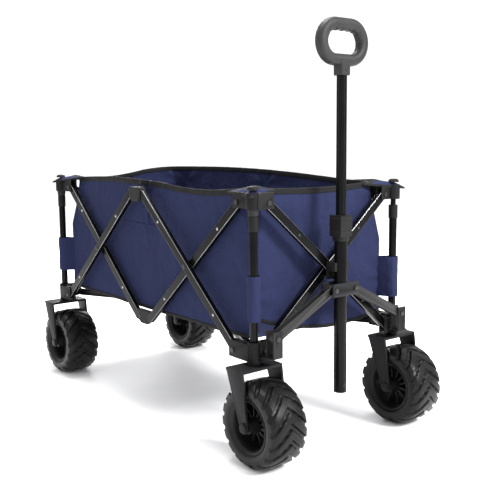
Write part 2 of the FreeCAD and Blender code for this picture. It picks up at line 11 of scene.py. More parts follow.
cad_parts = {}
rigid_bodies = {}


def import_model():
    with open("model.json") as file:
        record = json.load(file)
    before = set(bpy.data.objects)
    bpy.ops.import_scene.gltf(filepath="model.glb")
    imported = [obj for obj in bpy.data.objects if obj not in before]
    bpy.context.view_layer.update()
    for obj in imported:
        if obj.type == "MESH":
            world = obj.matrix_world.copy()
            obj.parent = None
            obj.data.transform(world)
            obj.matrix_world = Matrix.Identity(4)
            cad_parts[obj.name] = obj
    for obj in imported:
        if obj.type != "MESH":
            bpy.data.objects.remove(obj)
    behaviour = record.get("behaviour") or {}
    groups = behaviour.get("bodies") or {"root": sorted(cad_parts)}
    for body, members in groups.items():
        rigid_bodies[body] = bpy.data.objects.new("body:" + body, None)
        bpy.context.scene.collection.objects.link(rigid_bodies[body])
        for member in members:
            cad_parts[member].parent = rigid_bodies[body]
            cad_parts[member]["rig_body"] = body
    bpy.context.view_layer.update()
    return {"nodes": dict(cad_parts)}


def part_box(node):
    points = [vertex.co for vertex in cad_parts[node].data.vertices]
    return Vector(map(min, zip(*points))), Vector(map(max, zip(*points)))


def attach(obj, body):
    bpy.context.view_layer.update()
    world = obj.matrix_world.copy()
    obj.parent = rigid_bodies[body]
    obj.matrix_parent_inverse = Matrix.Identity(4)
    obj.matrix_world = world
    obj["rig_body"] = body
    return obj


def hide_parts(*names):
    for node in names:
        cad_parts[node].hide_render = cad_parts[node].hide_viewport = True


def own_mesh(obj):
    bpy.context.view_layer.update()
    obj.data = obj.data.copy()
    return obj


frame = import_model()
NODES = frame["nodes"]
CORNERS = {"FL": (-1, -1), "FR": (1, -1), "RL": (-1, 1), "RR": (1, 1)}


def middle(node):
    """The centre of a CAD node's box."""
    low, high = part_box(node)
    return (Vector(low) + Vector(high)) / 2


POST = {code: middle(f"outer_post_{code}") for code in CORNERS}
MID_Y = (POST["FL"].y + POST["RL"].y) / 2
LUG_FOOT_Z = 0.213
LUG_LIFT = 0.0095
LUG_START = 0.020


# ---------------------------------------------------------------- materials
def material(name, colour, roughness, metallic=0.0, coat=0.0, sheen=0.0, specular=0.25,
             mottle=0.12, mottle_scale=18, grain_scale=600, grain=0.15, painted_edge_highlight=None):
    """A surface whose colour, roughness and relief all vary a little."""
    result = bpy.data.materials.new(name)
    result.use_nodes = True
    nodes, links = result.node_tree.nodes, result.node_tree.links
    surface = nodes["Principled BSDF"]
    surface.inputs["Metallic"].default_value = metallic
    surface.inputs["Coat Weight"].default_value = coat
    surface.inputs["Coat Roughness"].default_value = 0.12
    surface.inputs["Sheen Weight"].default_value = sheen
    surface.inputs["Specular IOR Level"].default_value = specular
    place = nodes.new("ShaderNodeTexCoord")
    cloud = nodes.new("ShaderNodeTexNoise")
    cloud.inputs["Scale"].default_value = mottle_scale
    cloud.inputs["Detail"].default_value = 5
    links.new(place.outputs["Object"], cloud.inputs["Vector"])
    ramp = nodes.new("ShaderNodeValToRGB")
    dark = [max(0.0, part * (1 - mottle)) for part in colour]
    light = [part * (1 + mottle) for part in colour]
    ramp.color_ramp.elements[0].position = 0.35
    ramp.color_ramp.elements[0].color = (*dark, 1)
    ramp.color_ramp.elements[1].position = 0.68
    ramp.color_ramp.elements[1].color = (*light, 1)
    links.new(cloud.outputs["Fac"], ramp.inputs["Fac"])
    colour_out = ramp.outputs["Color"]
    # Painted highlight: convex edges, picked out by pointiness, take the lighter edge colour.
    if painted_edge_highlight:
        shape = nodes.new("ShaderNodeNewGeometry")
        edge = nodes.new("ShaderNodeMapRange")
        edge.inputs["From Min"].default_value = 0.52
        edge.inputs["From Max"].default_value = 0.62
        links.new(shape.outputs["Pointiness"], edge.inputs["Value"])
        mix = nodes.new("ShaderNodeMix")
        mix.data_type = "RGBA"
        links.new(edge.outputs["Result"], mix.inputs["Factor"])
        links.new(colour_out, mix.inputs["A"])
        mix.inputs["B"].default_value = (*painted_edge_highlight, 1)
        colour_out = mix.outputs["Result"]
    links.new(colour_out, surface.inputs["Base Color"])
    rough = nodes.new("ShaderNodeMapRange")
    rough.inputs["To Min"].default_value = max(0.05, roughness - 0.07)
    rough.inputs["To Max"].default_value = min(1.0, roughness + 0.07)
    links.new(cloud.outputs["Fac"], rough.inputs["Value"])
    links.new(rough.outputs["Result"], surface.inputs["Roughness"])
    fine = nodes.new("ShaderNodeTexNoise")
    fine.inputs["Scale"].default_value = grain_scale
    fine.inputs["Detail"].default_value = 3
    links.new(place.outputs["Object"], fine.inputs["Vector"])
    bump = nodes.new("ShaderNodeBump")
    bump.inputs["Strength"].default_value = grain
    bump.inputs["Distance"].default_value = 0.001
    links.new(fine.outputs["Fac"], bump.inputs["Height"])
    links.new(bump.outputs["Normal"], surface.inputs["Normal"])
    return result


def weave(cloth, pitch=900, strength=0.35, crumple=0.85):
    """Cross threads and soft crumples over a cloth material's own grain."""
    nodes, links = cloth.node_tree.nodes, cloth.node_tree.links
    surface = nodes["Principled BSDF"]
    place = next(node for node in nodes if node.type == "TEX_COORD")
    earlier = next(node for node in nodes if node.type == "BUMP")
    last = earlier
    for direction in ("X", "Y", "Z"):
        threads = nodes.new("ShaderNodeTexWave")
        threads.bands_direction = direction
        threads.inputs["Scale"].default_value = pitch
        links.new(place.outputs["Object"], threads.inputs["Vector"])
        bump = nodes.new("ShaderNodeBump")
        bump.inputs["Strength"].default_value = strength / 3
        bump.inputs["Distance"].default_value = 0.0004
        links.new(threads.outputs["Fac"], bump.inputs["Height"])
        links.new(last.outputs["Normal"], bump.inputs["Normal"])
        last = bump
    folds = nodes.new("ShaderNodeTexNoise")
    folds.inputs["Scale"].default_value = 16
    folds.inputs["Detail"].default_value = 6
    folds.inputs["Distortion"].default_value = 0.6
    links.new(place.outputs["Object"], folds.inputs["Vector"])
    bump = nodes.new("ShaderNodeBump")
    bump.inputs["Strength"].default_value = crumple
    bump.inputs["Distance"].default_value = 0.014
    links.new(folds.outputs["Fac"], bump.inputs["Height"])
    links.new(last.outputs["Normal"], bump.inputs["Normal"])
    links.new(bump.outputs["Normal"], surface.inputs["Normal"])
    return cloth


NAVY = weave(material("navy_cloth", (0.0175, 0.0215, 0.057), 0.85, specular=0.06, mottle=0.08,
                      mottle_scale=7))
BINDING = weave(material("black_binding", (0.009, 0.009, 0.010), 0.7, specular=0.12, mottle=0.2),
                crumple=0.25)
STEEL = material("gloss_black_steel", (0.003, 0.003, 0.0034), 0.24, coat=0.03, specular=0.08, mottle=0.2,
                 grain_scale=260, grain=0.06)
# The lighter colours given for convex edges in these materials are painted highlights.
CASTER = material("satin_black_steel", (0.005, 0.005, 0.0055), 0.42, specular=0.08, mottle=0.2,
                  grain_scale=320, grain=0.12, painted_edge_highlight=(0.03, 0.03, 0.032))
PLASTIC = material("moulded_plastic", (0.006, 0.0058, 0.0058), 0.5, specular=0.07, mottle=0.14,
                   grain_scale=1500, grain=0.2, painted_edge_highlight=(0.022, 0.021, 0.021))
GRIP = material("grip_plastic", (0.022, 0.022, 0.023), 0.5, specular=0.2, mottle=0.2,
                grain_scale=1300, grain=0.25)
RUBBER = material("tyre_rubber", (0.003, 0.0029, 0.0029), 0.36, specular=0.18, mottle=0.3,
                  grain_scale=700, grain=0.25, painted_edge_highlight=(0.012, 0.0115, 0.011))
RIM = material("rim_plastic", (0.007, 0.007, 0.007), 0.42, specular=0.15, mottle=0.2, grain_scale=900,
               grain=0.15)
RIVET = material("rivet_steel", (0.03, 0.03, 0.029), 0.36, metallic=0.5, mottle=0.25, grain_scale=400)
# Painted highlight: a lighter steel for the bars' bevel faces, standing in for the lamps' reflections
# along their edges.
PAINTED_HIGHLIGHT = material("painted_highlight_edge", (0.22, 0.22, 0.222), 0.3, metallic=0.6, specular=0.4, mottle=0.3,
                grain_scale=260, grain=0.06)
# Painted glint: a brighter copy of the rivet steel for the small rivets on the end bars.
PAINTED_GLINT = material("painted_glint_rivet_steel", (0.32, 0.31, 0.30), 0.3, metallic=1.0, mottle=0.2,
                  grain_scale=400)
LINK = material("satin_link_steel", (0.012, 0.012, 0.012), 0.34, specular=0.18, mottle=0.15,
                grain_scale=300, grain=0.1, painted_edge_highlight=(0.05, 0.05, 0.05))


# ---------------------------------------------------------------- mesh helpers
def smooth(mesh, degrees=32):
    """Smooth shading that keeps the edges sharper than an angle."""
    mesh.polygons.foreach_set("use_smooth", [True] * len(mesh.polygons))
    mesh.set_sharp_from_angle(angle=math.radians(degrees))


def piece(name, points, faces, surface, body, degrees=32):
    """A named mesh object that rides on a CAD body."""
    mesh = bpy.data.meshes.new(name)
    mesh.from_pydata([tuple(point) for point in points], [], faces)
    work = bmesh.new()
    work.from_mesh(mesh)
    bmesh.ops.recalc_face_normals(work, faces=work.faces)
    work.to_mesh(mesh)
    work.free()
    mesh.materials.append(surface)
    smooth(mesh, degrees)
    result = bpy.data.objects.new(name, mesh)
    bpy.context.scene.collection.objects.link(result)
    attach(result, body)
    return result


def loft(rings, closed=False, capped=True):
    """Points and faces joining rings of equal length one after another."""
    size = len(rings[0])
    points = [point for ring in rings for point in ring]
    faces = []
    spans = len(rings) if closed else len(rings) - 1
    for row in range(spans):
        here, there = row * size, (row + 1) % len(rings) * size
        for column in range(size):
            step = (column + 1) % size
            faces.append((here + column, here + step, there + step, there + column))
    if capped and not closed:
        faces.append(tuple(range(size - 1, -1, -1)))
        faces.append(tuple(range((len(rings) - 1) * size, len(rings) * size)))
    return points, faces


def rounded_outline(width, height, radius, steps=4):
    """The corner-rounded rectangle about the origin, as 2-D points."""
    points = []
    for sign_a, sign_b, start in ((1, 1, 0), (-1, 1, 90), (-1, -1, 180), (1, -1, 270)):
        for step in range(steps + 1):
            angle = math.radians(start + 90 * step / steps)
            points.append((sign_a * (width / 2 - radius) + radius * math.cos(angle),
                           sign_b * (height / 2 - radius) + radius * math.sin(angle)))
    return points


def sweep(path, outline, up=Vector((0, 0, 1)), closed=False):
    """Points and faces of an outline carried along a path; its second coordinate stays near up."""
    rings = []
    count = len(path)
    for number, point in enumerate(path):
        after = path[(number + 1) % count] if closed or number < count - 1 else point
        before = path[number - 1] if closed or number > 0 else point
        along = (after - before).normalized()
        across = along.cross(up).normalized()
        rise = across.cross(along).normalized()
        rings.append([point + across * a + rise * b for a, b in outline])
    return loft(rings, closed=closed)


def lathe(profile, centre, axis="x", segments=48):
    """Points and faces of a closed profile of (along, radius) turned about an axis."""
    rings = []
    for step in range(segments):
        angle = 2 * math.pi * step / segments
        ring = []
        for along, radius in profile:
            local = Vector((along, radius * math.sin(angle), radius * math.cos(angle)))
            if axis == "z":
                local = Vector((local.y, local.z, local.x))
            if axis == "y":
                local = Vector((local.z, local.x, local.y))
            ring.append(centre + local)
        rings.append(ring)
    return loft(rings, closed=True)


def shell(surface, columns, rows, thickness):
    """Points and faces of a thin closed sheet: surface(u, v) gives a point and its outward normal."""
    front, back = [], []
    for row in range(rows + 1):
        for column in range(columns + 1):
            point, normal = surface(column / columns, row / rows)
            front.append(point + normal * thickness / 2)
            back.append(point - normal * thickness / 2)
    offset = len(front)
    width = columns + 1
    faces = []
    for row in range(rows):
        for column in range(columns):
            a = row * width + column
            quad = (a, a + 1, a + 1 + width, a + width)
            faces.append(quad)
            faces.append(tuple(offset + index for index in reversed(quad)))
    rim = [column for column in range(width)]
    rim += [row * width + columns for row in range(1, rows + 1)]
    rim += [rows * width + column for column in range(columns - 1, -1, -1)]
    rim += [row * width for row in range(rows - 1, 0, -1)]
    for here, there in zip(rim, rim[1:] + rim[:1]):
        faces.append((there, here, offset + here, offset + there))
    return front + back, faces


def islands(work):
    """The separate closed parts of a bmesh, as lists of faces."""
    left = set(work.faces)
    found = []
    while left:
        seed = left.pop()
        part, edge = [seed], [seed]
        while edge:
            face = edge.pop()
            for side in face.edges:
                for other in side.link_faces:
                    if other in left:
                        left.remove(other)
                        part.append(other)
                        edge.append(other)
        found.append(part)
    return found


def extent(faces):
    """The size of a set of faces along x, y and z."""
    spots = [vertex.co for face in faces for vertex in face.verts]
    return Vector([max(spot[n] for spot in spots) - min(spot[n] for spot in spots) for n in range(3)])


def raise_lug(spot):
    """Lift the underside of a front bracket's lug, so that it tapers forward from the post."""
    if spot.y < POST["FL"].y - LUG_START and spot.z < LUG_FOOT_Z + 0.0005:
        spot.z += LUG_LIFT


def softened(node, surfaces, choose, width=0.0012, segments=2, suffix="finish", reshape=None):
    """A copy of a CAD node with broken edges, each of its solids in the material that choose picks."""
    mesh = NODES[node].data.copy()
    mesh.materials.clear()
    for surface in surfaces:
        mesh.materials.append(surface)
    work = bmesh.new()
    work.from_mesh(mesh)
    bmesh.ops.remove_doubles(work, verts=work.verts, dist=1e-5)
    if reshape:
        for vertex in work.verts:
            reshape(vertex.co)
    for part in islands(work):
        pick = choose(extent(part))
        for face in part:
            face.material_index = pick
    bmesh.ops.dissolve_limit(work, angle_limit=math.radians(1), verts=work.verts, edges=work.edges,
                             delimit={"MATERIAL"})
    sharp = [edge for edge in work.edges
             if len(edge.link_faces) == 2 and edge.calc_face_angle(0) > math.radians(35)]
    if width:
        bmesh.ops.bevel(work, geom=sharp, offset=width, segments=segments, profile=0.5,
                        affect="EDGES", clamp_overlap=True)
    work.to_mesh(mesh)
    work.free()
    smooth(mesh, 40)
    result = bpy.data.objects.new(f"{node}.{suffix}", mesh)
    bpy.context.scene.collection.objects.link(result)
    body = NODES[node]["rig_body"]
    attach(result, body)
    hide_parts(node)
    return result


# ---------------------------------------------------------------- frame parts kept from the CAD
def finish_frame_parts():
    """Brackets, posts, forks, links and the mast with broken edges and their own materials."""
    big = 0.035
    long = 0.15
    for code in CORNERS:
        softened(f"lower_bracket_{code}", [PLASTIC, RIVET], lambda size: 0 if max(size) > big else 1,
                 reshape=raise_lug if code in ("FL", "FR") else None)
        softened(f"top_bracket_{code}", [PLASTIC, RIVET, STEEL],
                 lambda size: 2 if size.z > long else (0 if max(size) > big else 1))
        softened(f"outer_post_{code}", [STEEL, PLASTIC], lambda size: 0 if size.z > long else 1,
                 width=0.0006)
        softened(f"fork_{code}", [CASTER], lambda size: 0, width=0.0018)
        softened(f"floor_link_{code}", [STEEL], lambda size: 0, width=0.0022)
    for side in ("left", "right"):
        softened(f"handle_link_{side}", [LINK], lambda size: 0, width=0.002)
        for level in ("upper", "lower"):
            mid_moulding(side, level)
    necks()
    softened("link_carrier", [CASTER, RIVET], lambda size: 0 if size.x > 0.06 else 1, width=0.001)
    softened("centre_block", [PLASTIC], lambda size: 0, width=0.0025)
    softened("mast_collar", [PLASTIC], lambda size: 0, width=0.0055, segments=4)
    softened("mast_outer", [STEEL], lambda size: 0, width=0.0004)
    softened("release_button", [GRIP], lambda size: 0, width=0.001)
    softened("floor_hub", [PLASTIC, RIVET], lambda size: 0 if max(size) > big else 1, width=0.0012)


def necks():
    """The tapered plastic necks under the left top brackets."""
    for code in ("FL", "RL"):
        post = POST[code]
        bush_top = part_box(f"outer_post_{code}")[1][2]
        bracket_foot = bush_top + 0.0142
        centre = Vector((post.x, post.y, 0))
        profile = [(bush_top + 0.0006, 0.0064), (bush_top + 0.0006, 0.0104), (bracket_foot, 0.0117),
                   (bracket_foot, 0.0064)]
        points, faces = lathe(profile, centre, axis="z", segments=32)
        piece(f"top_bracket_{code}.neck", points, faces, PLASTIC, f"top_{code}",
              degrees=50)


def mid_moulding(side, level):
    """A moulding between the bars of a long side, trimmed to the wedge that the bars leave."""
    node = f"{side}_{level}_mid_bracket"
    low, high = (Vector(corner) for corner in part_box(node))
    centre = (low + high) / 2
    if level == "lower":
        outline = [(-0.014, -0.0165), (0.014, -0.0165), (0.024, -0.010), (0.032, 0.004), (0.034, 0.016),
                   (0.024, 0.0185), (-0.024, 0.0185), (-0.034, 0.016), (-0.032, 0.004), (-0.024, -0.010)]
        depth = 0.0112
    else:
        outline = [(-0.021, 0.0165), (0.021, 0.0165), (0.0245, 0.012), (0.0245, -0.006), (0.016, -0.018),
                   (-0.016, -0.018), (-0.0245, -0.006), (-0.0245, 0.012)]
        depth = high.x - low.x - 0.0032
    rings = []
    chamfer = 0.0016
    for share, inset in ((-0.5, chamfer), (-0.5 + chamfer / depth, 0),
                         (0.5 - chamfer / depth, 0), (0.5, chamfer)):
        shrink = 1 - inset / 0.02
        rings.append([centre + Vector((depth * share, y * shrink, z * shrink)) for y, z in outline])
    points, faces = loft(rings)
    result = piece(f"{node}.moulding", points, faces, PLASTIC, f"{side}_{level}_mid")
    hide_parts(node)


# The bevel rows of a bar tube that get the painted highlight steel.
PAINTED_HIGHLIGHT_ROWS = (1, 5)
SIDE_RIVET_SHARES = (0.235, 0.765)
END_RIVET_SHARES = (0.2, 0.8)
BAR_HALF_DEPTH = 0.010
BAR_THICKNESS = 0.012
BAR_LAYER = 0.007


def bar(node, rising):
    """A flat tube between two pivots, rounded at its ends, with its rivet heads."""
    low, high = (Vector(corner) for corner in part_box(node))
    face_axis = 1 if high.x - low.x > high.y - low.y else 0
    along_axis = 1 - face_axis
    half = BAR_HALF_DEPTH
    start, finish = low.copy(), high.copy()
    thickness = BAR_THICKNESS
    outer = "outer" in node
    plane = (low[face_axis] + high[face_axis]) / 2
    if outer:
        outward = 1 if plane > (MID_Y if face_axis == 1 else 0) else -1
        plane += outward * BAR_LAYER
    for point in (start, finish):
        point[face_axis] = plane
    start[along_axis] += half
    finish[along_axis] -= half
    start.z, finish.z = low.z + half, high.z - half
    if not rising:
        start.z, finish.z = finish.z, start.z
    normal = Vector((0, 0, 0))
    normal[face_axis] = 1
    along = (finish - start).normalized()
    across = normal.cross(along)
    rings = []
    edge = 0.0032
    outline = []
    steps = 10
    for tip, sign in ((finish, 1), (start, -1)):
        for step in range(steps + 1):
            angle = math.pi * (step / steps - 0.5)
            outline.append((tip, sign * math.cos(angle), sign * math.sin(angle)))
    for depth, inset in ((-0.5, edge), (-0.5, edge * 0.35), (-0.5 + 0.3 * edge / thickness, 0.08 * edge),
                         (-0.5 + edge / thickness, 0), (0.5 - edge / thickness, 0),
                         (0.5 - 0.3 * edge / thickness, 0.08 * edge), (0.5, edge * 0.35), (0.5, edge)):
        radius = half - inset
        rings.append([tip + along * a * radius + across * b * radius + normal * depth * thickness
                      for tip, a, b in outline])
    points, faces = loft(rings)
    result = piece(f"{node}.tube", points, faces, STEEL, node, degrees=50)
    # The bevel rows take the painted highlight steel.
    result.data.materials.append(PAINTED_HIGHLIGHT)
    for number, face in enumerate(result.data.polygons):
        face.material_index = 1 if number // len(outline) in PAINTED_HIGHLIGHT_ROWS else 0
    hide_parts(node)
    details = []
    for share in (0, *(END_RIVET_SHARES if face_axis == 0 else SIDE_RIVET_SHARES)):
        spot = start.lerp(finish, share if share else 0.5)
        if share == 0 and not outer:
            continue
        height = 0.0016 if share else 0.0022
        radius = 0.0035 if share else 0.006
        outwards = normal * (1 if plane > (MID_Y if face_axis == 1 else 0) else -1)
        details.append((spot + outwards * thickness / 2, outwards, radius, height))
    for number, (spot, direction, radius, height) in enumerate(details):
        # Small rivets on the end bars get the painted glint steel; all others the dark rivet steel.
        glint_surface = PAINTED_GLINT if radius < 0.004 and face_axis == 0 else RIVET
        head(f"{node}.head{number}", spot, direction, radius, height, node, glint_surface)
    return result


def head(name, spot, direction, radius, height, body, surface=None):
    """A domed rivet head standing on a surface."""
    turn = Vector((0, 0, 1)).rotation_difference(direction)
    rings = []
    for share in (0, 0.45, 0.75, 0.93):
        spread = radius * math.sqrt(1 - share ** 2)
        rings.append([spot + turn @ Vector((spread * math.cos(a), spread * math.sin(a), height * share))
                      for a in [math.tau * n / 16 for n in range(16)]])
    points, faces = loft(rings)
    return piece(name, points, faces, surface or RIVET, body, degrees=60)


def scissor_bars():
    """All twelve bars; outer ones rise from their own lower corner."""
    for side in ("left", "right"):
        bar(f"{side}_front_bar_outer", True)
        bar(f"{side}_front_bar_inner", False)
        bar(f"{side}_rear_bar_outer", False)
        bar(f"{side}_rear_bar_inner", True)
    bar("front_bar_inner", True)
    bar("front_bar_outer", False)
    bar("rear_bar_outer", True)
    bar("rear_bar_inner", False)


# ---------------------------------------------------------------- wheels
TYRE_HALF_PROFILE = [
    (0.0, 0.0846), (0.010, 0.0846), (0.020, 0.0842), (0.030, 0.0832), (0.037, 0.0812), (0.0425, 0.0775),
    (0.0460, 0.0740), (0.0468, 0.0680), (0.0455, 0.0620), (0.0425, 0.0575), (0.0380, 0.0555),
]
LUG_COUNT = 17
LUG_HEIGHT = 0.0053


def tyre_profile(samples=5):
    """The tyre's section from bead to bead, as (across, radius, how far from the centre 0 to 1)."""
    half = []
    total = len(TYRE_HALF_PROFILE) - 1
    for number in range(total):
        (x0, r0), (x1, r1) = TYRE_HALF_PROFILE[number], TYRE_HALF_PROFILE[number + 1]
        for step in range(samples):
            share = step / samples
            half.append((x0 + (x1 - x0) * share, r0 + (r1 - r0) * share, (number + share) / total))
    half.append((*TYRE_HALF_PROFILE[-1], 1.0))
    return [(-x, r, s) for x, r, s in reversed(half[1:])] + half


def tyre(code):
    """A soft wide tyre with chevron lugs whose points lead on the front face."""
    centre = middle(f"tyre_{code}")
    profile = tyre_profile()
    segments = LUG_COUNT * 20
    rings = []
    for step in range(segments):
        angle = math.tau * step / segments
        ring = []
        for across, radius, share in profile:
            phase = LUG_COUNT * step / segments - 1.15 * min(abs(across) / 0.040, 1.2)
            wave = math.sin(math.tau * phase)
            lug = min(1.0, max(0.0, 0.5 + 4.0 * (wave + 0.45)))
            reach = min(1.0, max(0.0, (0.66 - share) / 0.08))
            out = radius + LUG_HEIGHT * lug * reach
            out = min(out, 0.0899)
            ring.append(centre + Vector((across, -out * math.sin(angle), out * math.cos(angle))))
        inner = [(0.030, 0.0535), (-0.030, 0.0535)]
        for across, out in inner:
            ring.append(centre + Vector((across, -out * math.sin(angle), out * math.cos(angle))))
        rings.append(ring)
    points, faces = loft(rings, closed=True)
    result = piece(f"tyre_{code}.tread", points, faces, RUBBER, f"wheel_{code}", degrees=38)
    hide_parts(f"tyre_{code}")
    for side in (-1, 1):
        lip = [(0.026, 0.0548), (0.040, 0.0560), (0.0425, 0.0575), (0.0440, 0.0560), (0.0425, 0.0520),
               (0.0380, 0.0490), (0.026, 0.0480)]
        points, faces = lathe([(side * a, r) for a, r in lip], centre)
        piece(f"rim_{code}.lip{side + 1}", points, faces, RIM, f"wheel_{code}", degrees=40)
        cap = [(0.044, 0.0005), (0.0455, 0.009), (0.0445, 0.0135), (0.030, 0.0155), (0.024, 0.017),
               (0.010, 0.0005)]
        points, faces = lathe([(side * a, r) for a, r in cap], centre)
        piece(f"rim_{code}.hub{side + 1}", points, faces, RIM, f"wheel_{code}", degrees=40)


SPOKE_COUNT = 11
# how far out from the axle, half width, half depth
SPOKE_SECTIONS = ((0.010, 0.0034, 0.024), (0.030, 0.0026, 0.017), (0.050, 0.0030, 0.014))


def spoked_rim(code):
    """The rim's barrel and its thin raked spokes."""
    centre = middle(f"rim_{code}")
    barrel = [(-0.032, 0.0480), (-0.032, 0.0548), (0.032, 0.0548), (0.032, 0.0480)]
    points, faces = lathe(barrel, centre)
    ring = piece(f"rim_{code}.barrel", points, faces, RIM, f"wheel_{code}", degrees=40)
    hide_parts(f"rim_{code}")
    for number in range(SPOKE_COUNT):
        angle = math.tau * number / SPOKE_COUNT
        out = Vector((0, math.cos(angle), math.sin(angle)))
        beside = Vector((0, -math.sin(angle), math.cos(angle)))
        rings = []
        for radius, half_wide, half_deep in SPOKE_SECTIONS:
            rings.append([centre + out * radius + beside * a + Vector((b, 0, 0))
                          for a, b in rounded_outline(2 * half_wide, 2 * half_deep, 0.0018)])
        points, faces = loft(rings)
        piece(f"rim_{code}.spoke{number}", points, faces, RIM, f"wheel_{code}", degrees=50)


# ---------------------------------------------------------------- handle
def inner_mast():
    """The fluted inner tube of the mast."""
    low, high = (Vector(corner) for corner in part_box("mast_inner"))
    centre = (low + high) / 2
    outer, rings = (high.x - low.x) / 2, []
    for height in (low.z, high.z - 0.001, high.z):
        ring = []
        for step in range(64):
            angle = math.tau * step / 64
            flute = max(0.0, math.cos(4 * angle)) ** 3
            radius = outer - 0.0013 * flute
            ring.append(Vector((centre.x + radius * math.cos(angle), centre.y + radius * math.sin(angle),
                                height)))
        rings.append(ring)
    points, faces = loft(rings)
    result = piece("mast_inner.fluted", points, faces, STEEL, "handle", degrees=60)
    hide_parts("mast_inner")


def grip_point(share, half_straight, radius):
    """A point and outward direction on a stadium line in the xz plane."""
    straight, arc = 2 * half_straight, math.pi * radius
    distance = share * 2 * (straight + arc)
    if distance < straight:
        return Vector((half_straight - distance, 0, radius)), Vector((0, 0, 1))
    distance -= straight
    if distance < arc:
        angle = math.pi / 2 + distance / radius
        out = Vector((math.cos(angle), 0, math.sin(angle)))
        return Vector((-half_straight, 0, 0)) + out * radius, out
    distance -= arc
    if distance < straight:
        return Vector((-half_straight + distance, 0, -radius)), Vector((0, 0, -1))
    angle = -math.pi / 2 + (distance - straight) / radius
    out = Vector((math.cos(angle), 0, math.sin(angle)))
    return Vector((half_straight, 0, 0)) + out * radius, out


def grip():
    """The closed-loop grip with finger ridges under its top bar, and the socket below it."""
    low, high = (Vector(corner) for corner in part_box("grip"))
    centre = Vector((0, (low.y + high.y) / 2, high.z - 0.050))
    rings = []
    steps = 160
    bar_half = 0.0125
    for step in range(steps):
        spot, out = grip_point(step / steps, 0.022, 0.0365)
        top = max(0.0, out.z)
        bump = 0.0022 * top * (0.5 + 0.5 * math.cos(math.tau * spot.x / 0.0185))
        ring = []
        for turn in range(20):
            angle = math.tau * turn / 20
            radial, deep = math.cos(angle), math.sin(angle)
            radial = math.copysign(abs(radial) ** 0.8, radial)
            deep = math.copysign(abs(deep) ** 0.8, deep)
            reach = bar_half + (bump if radial < 0 else 0)
            ring.append(centre + spot + out * radial * reach + Vector((0, deep * 0.0128, 0)))
        rings.append(ring)
    points, faces = loft(rings, closed=True)
    ring = piece("grip.loop", points, faces, GRIP, "handle", degrees=60)
    sections = []
    for height, width in ((low.z, 0.0262), (low.z + 0.002, 0.0285), (low.z + 0.020, 0.0290),
                          (low.z + 0.030, 0.034), (high.z - 0.088, 0.044)):
        sections.append([Vector((a, centre.y + b, height))
                         for a, b in rounded_outline(width, 0.0265, 0.006)])
    points, faces = loft(sections)
    socket = piece("grip.socket", points, faces, GRIP, "handle", degrees=50)
    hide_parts("grip")
    head("grip.screw", Vector((0, centre.y - 0.0128, low.z + 0.011)), Vector((0, -1, 0)), 0.004, 0.0015,
         "handle")
    return ring, socket


def collar_details():
    """The moulded ribs and the flared foot of the mast's collar."""
    low, high = (Vector(corner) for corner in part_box("mast_collar"))
    centre = (low + high) / 2
    for number, height in enumerate((low.z + 0.010, high.z - 0.006)):
        width = high.x - low.x + 0.0018
        outline = rounded_outline(width, width, 0.007)
        rings = [[Vector((centre.x + a, centre.y + b, height + rise)) for a, b in outline]
                 for rise in (-0.0016, 0.0016)]
        points, faces = loft(rings)
        piece(f"mast_collar.rib{number}", points, faces, PLASTIC, "mast")
    rings = []
    for height, width in ((low.z - 0.010, 0.0295), (low.z - 0.003, 0.0305), (low.z + 0.001, 0.0325)):
        rings.append([Vector((centre.x + a, centre.y + b, height))
                      for a, b in rounded_outline(width, width, width * 0.3)])
    points, faces = loft(rings)
    piece("mast_collar.foot", points, faces, PLASTIC, "mast")
    mast_low = Vector(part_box("mast_outer")[0])
    head("mast_outer.rivet", Vector((0, mast_low.y, mast_low.z + 0.018)), Vector((0, -1, 0)), 0.004,
         0.002, "mast")


# ---------------------------------------------------------------- fabric
CLOTH = 0.0014
WALL_X = 0.1885
FRONT_Y = Vector(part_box("cloth_front")[0]).y + 0.0015
REAR_Y = Vector(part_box("cloth_rear")[1]).y - 0.0015
FOOT_Z = Vector(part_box("cloth_floor")[0]).z
RIM_Z = 0.5565
SLEEVE_FOOT_Z, SLEEVE_TOP_Z = 0.294, 0.388
GUSSET_START = 0.007
DRAWN_IN = 0.006
SEAM_Z = 0.452
SEAM_SPAN = 0.27


def corner_inset(runs, z):
    """How far a wall's end edge slopes away from its post above the sleeve."""
    if runs == "y":
        return max(0.0, z - SLEEVE_TOP_Z) * 0.30
    return max(0.0, z - 0.430) * 0.235


def rim_shape(share, rim):
    """The rim's height over its mean line: a rise from end to end and two bows that meet at a share."""
    start, finish, meet, before, after = rim
    level = start + (finish - start) * share
    if share < meet:
        return level + before * math.sin(math.pi * share / meet)
    return level + after * math.sin(math.pi * (share - meet) / (1 - meet))


def creases(along, z, seed, supports):
    """The soft relief of hanging cloth: tall streaks, small crumples and pulls at its supports."""
    depth = 0.0046 * noise.noise(Vector((along * 11, z * 3.2, seed)))
    depth += 0.0020 * noise.noise(Vector((along * 37, z * 11, seed + 7)))
    for where, height in supports:
        reach = math.hypot(along - where, z - height)
        angle = math.atan2(z - height, along - where)
        depth += 0.0034 * math.sin(angle * 8 + seed) * math.exp(-reach / 0.075) * min(1.0, reach / 0.02)
    return depth


WALLS = {
    # side: (runs along, fixed coordinate, outward sign, seed, body,
    #        rim: rise at start, rise at end, share where its two bows meet, the two bows,
    #        hem: lowest share, drop there, curvature)
    "left": ("y", -WALL_X, -1, 1.0, "top_FL", (0, 0, 0.4, -0.0095, 0.0075), (0.5, 0.004, 0.016)),
    "right": ("y", WALL_X, 1, 2.0, "top_FR", (0, 0.021, 0.1, 0, 0.009), (0.5, 0.0, 0.0)),
    "front": ("x", FRONT_Y, -1, 3.0, "top_FL", (0, 0, 0.9, -0.005, 0), (0.64, 0.006, 0.115)),
    "rear": ("x", REAR_Y, 1, 4.0, "top_RL", (0.001, 0.021, 0.65, -0.009, 0.002), (0.5, 0.004, 0.1)),
}


